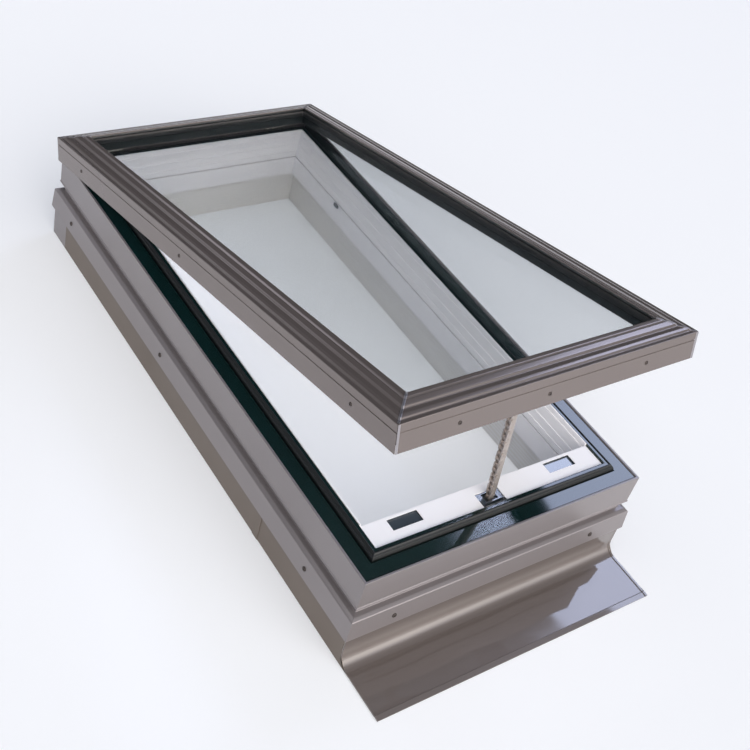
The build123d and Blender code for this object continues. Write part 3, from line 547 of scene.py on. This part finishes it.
# %% Heads on the flange
FLANGE_FLARE = 3.5
FLANGE_TILT = np.arctan2(FLANGE_FLARE, LEDGE - FLANGE)
SCREW_LEVEL = FLANGE + 21.0
HEAD_RADIUS, HEAD_HEIGHT = 4.6, 2.4

screw_out = FLANGE_FACE - (SCREW_LEVEL - FLANGE) * np.tan(FLANGE_TILT)
places = {"front": (-220, 220), "back": (-220, 220), "left": (-462, 84, 506), "right": (-462, 84, 506)}
heads = []
for side, way in INWARD.items():
    half = FRAME[0] / 2 if way[0] else FRAME[1] / 2
    axis = (-way[0] * np.cos(FLANGE_TILT), -way[1] * np.cos(FLANGE_TILT), np.sin(FLANGE_TILT))
    heads += [screw_head(on_side(side, place, screw_out, SCREW_LEVEL, half), axis, HEAD_RADIUS, HEAD_HEIGHT)
              for place in places[side]]
make_piece("flange_screw_heads", heads, "flange_screws")
print("flange screws:", len(heads))

# %% [markdown]
# ## The open sash
# The sash is worked out closed, where its sides are level, and then swung open about the hinge line,
# as the real one was drawn and made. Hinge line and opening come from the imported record. Points turn
# about a line along X: y' = y cos a + z sin a, z' = z cos a - y sin a.

# %% Swing
joints = {joint["name"]: joint for joint in frame["record"]["behaviour"]["joints"]}
HINGE = np.array(joints["sash_hinge"]["pos_m"][1:]) / MM
OPEN = radians(-joints["sash_hinge"]["range_deg"][0])


def swing(shape):
    """Turns a shape's points about the hinge line by the opening angle."""
    points, faces = shape
    x, y, z = points[:, 0], points[:, 1] - HINGE[0], points[:, 2] - HINGE[1]
    return np.stack([x, HINGE[0] + y * np.cos(OPEN) + z * np.sin(OPEN),
                     HINGE[1] + z * np.cos(OPEN) - y * np.sin(OPEN)], 1), faces


print("hinge line at", HINGE.round(3), "mm, open by", round(float(np.degrees(OPEN)), 2), "degrees")

# %% [markdown]
# ## Sash cladding
# The cladding starts with a skirt that hides the joint to the frame, with one fine groove near its
# top. It turns over a small lip, and climbs to the glass in three steps of different width. Level
# parts mirror the dark end of the room, as the glass does. The round noses of the steps lean outwards
# and mirror the light, so that the rail looks striped. Painted stripes would look the same from all
# sides, and real steps don't.

# %% Cladding section
SASH = (613.0, 1197.0)
SASH_BASE = 190.5
SKIRT, RISE, RAIL = 50.5, 11.5, 50.0
LIP = 4.0
STEPS = [(LIP, 50.2), (8.5, 50.2), (10.5, 53.0), (16.0, 54.3), (25.0, 54.4), (27.5, 57.8), (37.0, 60.1),
         (38.6, 58.4), (40.4, 60.0), (42.0, 61.0), (48.5, 62.0), (RAIL, 62.0)]
STEP_RADII = [1.0, 1.0, 1.0, 1.0, 1.4, 1.2, 0.9, 0.5, 0.7, 0.8, 0.8, 0.4]

outer = [(0, 0), (0, 34.8), (1.2, 35.2), (1.2, 36.8), (0, 37.2), (0, SKIRT), (2.6, SKIRT)]
inner = [(RAIL, SKIRT + RISE - 2.0), (2.6, SKIRT - 3.0), (2.6, 0)]
radii = [0.5, 0.3, 0.3, 0.3, 0.3, 1.6, 1.0] + STEP_RADII + [0.5, 0.2, 0.5]
cladding = rounded(outer + STEPS + inner, np.array(radii))
print("cladding section:", len(cladding), "points")

# %% [markdown]
# The four lengths end short of the mitre, 3 mm on the stepped face and half a millimetre on the skirt,
# to leave room for the corner keys. The skirt's own corner is rounded.

# %% Four lengths of cladding
KEY = 3.0
CORNER = 1.6

key_setback = np.where(cladding[:, 0] > 3.0, KEY, 0.5)
for side in INWARD:
    grid = rail(cladding, side, *SASH, SASH_BASE, key_setback, corner=CORNER, turns=4)
    make_piece(f"sash_cladding_{side}_rail", [swing(swept(grid))], f"sash_cladding_{side}")
print("cladding lengths:", len(INWARD), "set back by", KEY, "mm for the keys")

# %% [markdown]
# ## Corner keys
# A cast key joins two rails. Its two halves show along each mitre of the stepped face as bright
# strips with a dark joint between them. A thin strip of the same light metal also runs down the skirt
# near each end of the front and back lengths. It is a painted highlight along the skirt's rounded corner.
# Each strip is the rail's own section again, a little raised, between two cuts near the mitre, so it
# follows every step.

# %% Corner keys
KEY_PROUD = 0.6

raised = [(p, z + KEY_PROUD) for p, z in STEPS]
under = [(RAIL, SKIRT + RISE - 1.4), (LIP - 1.0, SKIRT - 2.6)]
key_section = rounded([(LIP - 1.0, SKIRT + 0.3)] + raised + under, 0.5, steps=4)
# Painted highlight: a strip of the keys' light metal down the skirt, standing in for the line of light on
# its rounded corner.
painted_highlight_edge = rounded([(-0.3, 0.4), (-0.3, SKIRT - 0.6), (1.2, SKIRT - 0.6), (1.2, 0.4)], 0.4, steps=4)
strips = []
for side in INWARD:
    cuts = [(key_section, 0.45, KEY - 0.15)]
    # The front and back lengths also get the painted highlight strip near each end of the skirt.
    if side in ("front", "back"):
        cuts.append((painted_highlight_edge, 0.6, 5.0))
    for section, near, far in cuts:
        outer_row, inner_row = (rail(section, side, *SASH, SASH_BASE, cut) for cut in (near, far))
        strips += [swing(swept(np.stack([outer_row[end], inner_row[end]]))) for end in (0, -1)]
make_piece("corner_key_and_highlight_strips", strips, "corner_keys")
print("strips on the mitres:", len(strips))

# %% [markdown]
# ## Glazing gasket
# A dark gasket fills the joint between glass and rail. It is widest along the front, where water runs
# off, and slopes down on to the glass.

# %% Gasket
GLASS_TOP, LIP_TOP = 57.0, 60.2

lips = []
for side, width in {"front": 9.0, "back": 4.0, "left": 4.0, "right": 4.0}.items():
    reach = RAIL - 4 + width
    lip = rounded(
        [(RAIL - 3, GLASS_TOP), (RAIL - 3, LIP_TOP), (RAIL - 0.2, LIP_TOP), (reach, GLASS_TOP + 0.7),
         (reach, GLASS_TOP)],
        np.array([0.2, 0.2, 0.8, 0.3, 0.2]), steps=4)
    lips.append(swing(swept(rail(lip, side, *SASH, SASH_BASE))))
make_piece("glazing_gasket_lips", lips, "glazing_gasket")
print("gasket lips:", len(lips))

# %% [markdown]
# ## Sash screws
# The screws of the skirt are smaller and flatter than the ones on the flange, but of the same kind, so
# they come from the same function with other sizes. They swing open with the sash.

# %% Heads on the skirt
SMALL_RADIUS, SMALL_HEIGHT = 3.6, 1.2
SKIRT_SCREW = 20.0

across, along = (-192, -17, 192), (-485, 57, 480)
places = {"front": across, "back": across, "left": along, "right": along}
heads = []
for side, way in INWARD.items():
    half = SASH[0] / 2 if way[0] else SASH[1] / 2
    for place in places[side]:
        centre = on_side(side, place, 0.0, SASH_BASE + SKIRT_SCREW, half)
        heads.append(swing(screw_head(centre, (-way[0], -way[1], 0), SMALL_RADIUS, SMALL_HEIGHT)))
make_piece("sash_screw_heads", heads, "sash_screws")
print("sash screws:", len(heads))

# %% [markdown]
# ## Push chain
# A push chain has links that butt against each other on one side, so that it stands like a rod, and
# rounded corners on the other, so that it can curl up. Links with plates close together and links
# with plates outside them take turns, and a rivet with a domed head joins each two. The chain points
# from its guide to the pin in the sash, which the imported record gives. All its parts are worked out
# straight, in a frame of its own, and then laid along that line.

# %% Chain frame
PITCH = 12.0
CHAIN_ORIGIN = np.array((0.0, -522.0, 203.5))
CHAIN_START, LINKS = -2.42, 20

to_pin = np.array(joints["chain_pivot"]["pos_m"]) / MM - CHAIN_ORIGIN
CHAIN_UP = np.round(to_pin / np.linalg.norm(to_pin), 5)
CHAIN_SIDE = np.array((-1.0, 0.0, 0.0))
CHAIN_OUT = np.cross(CHAIN_UP, CHAIN_SIDE)


def in_chain(along, across, out):
    """Origin + along up + across side + out out, with the chain's three directions up, side and out."""
    way = along[..., None] * CHAIN_UP + across[..., None] * CHAIN_SIDE + out[..., None] * CHAIN_OUT
    return CHAIN_ORIGIN + way


print("the chain points along", CHAIN_UP, "and reaches", round(float(np.linalg.norm(to_pin)), 1), "mm")

# %% Plates and rods
PLATE_HALF, PLATE_DEPTH = PITCH / 2 + 5.8, 5.5


def plate(place, low, high):
    """A side plate: square heels where it butts, round corners where it curls. The outline stands at
    low and again at high, and the two are joined."""
    near, far = place - PLATE_HALF, place + PLATE_HALF
    outline = rounded(
        [(near, -PLATE_DEPTH), (far, -PLATE_DEPTH), (far, PLATE_DEPTH), (near, PLATE_DEPTH)],
        [0.6, 0.6, 5.2, 5.2], steps=7)
    along, across = (np.stack([row, row]) for row in outline.T)
    return swept(in_chain(along, across, np.array([[low], [high]]) + 0 * along))


def rod(place, rings, sides=16):
    """A turned rod through the chain. Each ring lies at its distance out, with place + radius cos t
    along and radius sin t across."""
    turn = np.linspace(0, 2 * np.pi, sides, endpoint=False)
    out, radius = np.array(rings).T
    return swept(in_chain(place + radius[:, None] * np.cos(turn), radius[:, None] * np.sin(turn),
                          out[:, None] + 0 * turn))

# %% [markdown]
# As the sash closes, the real chain runs back into its guide and curls up in the operator. Here it is
# shortened towards a point just under the guide, because it is out of sight by then.

# %% Links
PLATE = 1.5
BUSH = [(-3.0, 3.6), (3.0, 3.6)]
RIVET = [(-7.0, 0.8), (-6.8, 1.6), (-6.1, 2.0), (6.1, 2.0), (6.8, 1.6), (7.0, 0.8)]

links = []
for link in range(LINKS):
    middle = CHAIN_START + (link + 0.5) * PITCH
    face, turned = (4.5, BUSH) if link % 2 == 0 else (6.1, RIVET)
    links += [plate(middle, -face, PLATE - face), plate(middle, face - PLATE, face)]
    links += [rod(joint, turned) for joint in (middle - PITCH / 2, middle + PITCH / 2)]
chain = make_piece("push_chain_links", links, "push_chain")
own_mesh(chain)
print("chain parts:", len(links))

# %% [markdown]
# ## Backdrop and light
# A pale floor runs on to the horizon. It gives off a little light of its own, but only to rays from
# the camera, from a mirror or through glass, so it looks pale everywhere and still holds the shadow.

# %% Floor
FLOOR_HALF, FLOOR_DROP = 20.0, 0.0005
FLOOR_GLOW = 0.32

floor_paint, tree, out = new_material("pale floor paint")
paint = add(tree, "ShaderNodeBsdfPrincipled",
            {"Base Color": linear("#d3d5d9"), "Roughness": 0.9, "Specular IOR Level": 0.2})
path = add(tree, "ShaderNodeLightPath").outputs
straight = add(tree, "ShaderNodeMath", links={0: path["Is Camera Ray"], 1: path["Is Glossy Ray"]},
               operation="MAXIMUM")
seen = add(tree, "ShaderNodeMath", links={0: straight.outputs["Value"], 1: path["Is Transmission Ray"]},
           operation="MAXIMUM")
strength = add(tree, "ShaderNodeMath", {1: FLOOR_GLOW}, {0: seen.outputs["Value"]}, operation="MULTIPLY")
lift = add(tree, "ShaderNodeEmission", {"Color": linear("#f5f6f8")},
           {"Strength": strength.outputs["Value"]})
both = add(tree, "ShaderNodeAddShader", links={0: paint.outputs["BSDF"], 1: lift.outputs["Emission"]})
tree.links.new(both.outputs["Shader"], out.inputs["Surface"])

mesh = bpy.data.meshes.new("floor")
signs = ((-1, -1), (1, -1), (1, 1), (-1, 1))
mesh.from_pydata([(x * FLOOR_HALF, y * FLOOR_HALF, -FLOOR_DROP) for x, y in signs], [], [(0, 1, 2, 3)])
mesh.materials.append(floor_paint)
floor = bpy.data.objects.new("floor", mesh)
bpy.context.scene.collection.objects.link(floor)
print("floor:", 2 * FLOOR_HALF, "m wide,", FLOOR_DROP / MM, "mm down")

# %% [markdown]
# Three soft boxes draw the reflections. One hangs above. The one far off at the right is what the
# apron and the gutter mirror; from so far its image hardly shifts along them. The one at the back left
# draws bright lines along the left rail.

# %% Lamps
def lamp(name, place, width, height, watts, colour):
    """A soft box that looks at the middle of the skylight."""
    light = bpy.data.lights.new(name, "AREA")
    light.shape, light.size, light.size_y = "RECTANGLE", width, height
    light.energy, light.color = watts, linear(colour)[:3]
    obj = bpy.data.objects.new(name, light)
    obj.location = place
    obj.rotation_euler = (Vector((0, 0, 0.2)) - obj.location).to_track_quat("-Z", "Y").to_euler()
    bpy.context.scene.collection.objects.link(obj)


lamp("above", (-0.7, -0.2, 3.3), 2.4, 2.4, 17.0, "#ffffff")
lamp("side right", (8.46, 3.21, 8.01), 3.9, 3.4, 250.0, "#c2cdec")
lamp("back left", (-1.6, 4.6, 2.3), 2.6, 1.4, 15.0, "#eef0ff")
print("lamps:", len(bpy.data.lights))

# %% [markdown]
# The room is bright in front and faintly lit all round, with a dim end on the far right. The panes
# mirror that end, so that no bright image veils what lies below them. Both are smooth steps round a
# direction: a picture of a room would give sharper reflections, but a coated rail only blurs them.

# %% Room
world = bpy.data.worlds.new("soft room")
bpy.context.scene.world = world
world.use_nodes = True
room = world.node_tree
direction = add(room, "ShaderNodeTexCoord").outputs["Generated"]


def towards(way, start, full):
    """From 0 to 1 along a smooth step, as the cosine of the angle to the way goes from start to full."""
    facing = add(room, "ShaderNodeVectorMath", {1: way}, {0: direction}, operation="DOT_PRODUCT")
    step = add(room, "ShaderNodeMapRange", {"From Min": start, "From Max": full},
               {"Value": facing.outputs["Value"]}, interpolation_type="SMOOTHSTEP")
    return step.outputs["Result"]


dim_end = towards((0.634, 0.755, 0.171), 0.68, 0.86)
glow = towards((-0.12, -0.96, 0.25), 0.4, 1.0)
tone = add(room, "ShaderNodeMix", {"A": linear("#dfe5f2"), "B": linear("#30343b")}, {"Factor": dim_end},
           data_type="RGBA")
warm = add(room, "ShaderNodeMix", {"B": linear("#fff9f2")}, {"Factor": glow, "A": tone.outputs["Result"]},
           data_type="RGBA")
strength = add(room, "ShaderNodeMapRange", {"To Min": 0.24, "To Max": 3.9}, {"Value": glow})
backdrop = room.nodes["Background"]
room.links.new(warm.outputs["Result"], backdrop.inputs["Color"])
room.links.new(strength.outputs["Result"], backdrop.inputs["Strength"])
bpy.context.scene.view_settings.view_transform = "Standard"
print("room nodes:", len(room.nodes))
